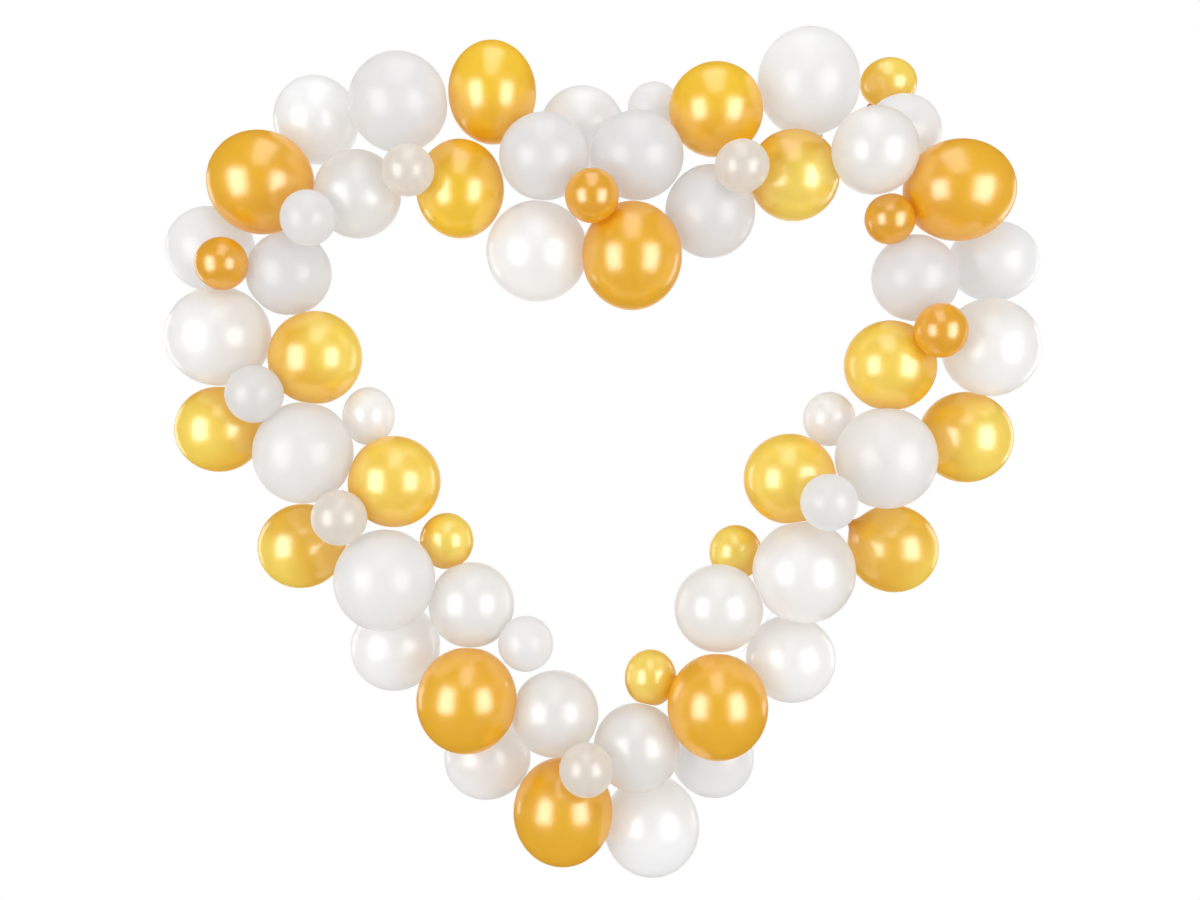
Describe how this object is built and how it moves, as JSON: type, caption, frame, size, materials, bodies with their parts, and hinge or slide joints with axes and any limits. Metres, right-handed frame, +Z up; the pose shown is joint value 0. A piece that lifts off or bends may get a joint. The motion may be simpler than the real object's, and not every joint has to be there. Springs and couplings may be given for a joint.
{
  "type": "balloon garland",
  "caption": "Open heart-shaped balloon garland, made to hang, of large, medium and small latex balloons in gold, pearl and white on a slim clear strip.",
  "frame": {"origin": "underside of the clear strip at the cleft of the heart, where the garland hangs", "axes": "+Z up, +X to the right seen from the front, the front of the heart faces -Y"},
  "size_m": [1.6807, 0.35, 1.629],
  "materials": {
    "gold_latex": "metallic gold latex, glossy",
    "pearl_latex": "pearl white latex, satin gloss",
    "white_latex": "plain pale white latex, soft gloss",
    "clear_strip": "clear flexible plastic strip"
  },
  "bodies": {
    "root": {"garland_strip": "clear_strip", "gold_cluster_01": "gold_latex", "gold_cluster_02": "gold_latex", "gold_cluster_03": "gold_latex", "gold_cluster_04": "gold_latex", "gold_large_01": "gold_latex", "gold_large_02": "gold_latex", "gold_large_03": "gold_latex", "gold_medium_01": "gold_latex", "gold_medium_02": "gold_latex", "gold_medium_03": "gold_latex", "gold_medium_04": "gold_latex", "gold_medium_05": "gold_latex", "gold_medium_06": "gold_latex", "gold_medium_07": "gold_latex", "gold_medium_08": "gold_latex", "gold_medium_09": "gold_latex", "gold_medium_10": "gold_latex", "gold_medium_11": "gold_latex", "gold_small_01": "gold_latex", "gold_small_02": "gold_latex", "gold_small_03": "gold_latex", "gold_small_04": "gold_latex", "pearl_cluster_01": "pearl_latex", "pearl_cluster_02": "pearl_latex", "pearl_large_01": "pearl_latex", "pearl_large_02": "pearl_latex", "pearl_large_03": "pearl_latex", "pearl_medium_01": "pearl_latex", "pearl_medium_02": "pearl_latex", "pearl_medium_03": "pearl_latex", "pearl_medium_04": "pearl_latex", "pearl_medium_05": "pearl_latex", "pearl_medium_06": "pearl_latex", "pearl_medium_07": "pearl_latex", "pearl_medium_08": "pearl_latex", "pearl_small_01": "pearl_latex", "pearl_small_02": "pearl_latex", "pearl_small_03": "pearl_latex", "pearl_small_04": "pearl_latex", "pearl_small_05": "pearl_latex", "pearl_small_06": "pearl_latex", "white_cluster_01": "white_latex", "white_large_01": "white_latex", "white_large_02": "white_latex", "white_large_03": "white_latex", "white_large_04": "white_latex", "white_medium_01": "white_latex", "white_medium_02": "white_latex", "white_medium_03": "white_latex", "white_medium_04": "white_latex", "white_medium_05": "white_latex", "white_medium_06": "white_latex", "white_medium_07": "white_latex", "white_medium_08": "white_latex", "white_medium_09": "white_latex", "white_small_01": "white_latex", "white_small_02": "white_latex", "white_small_03": "white_latex", "white_small_04": "white_latex"}
  },
  "joints": []
}
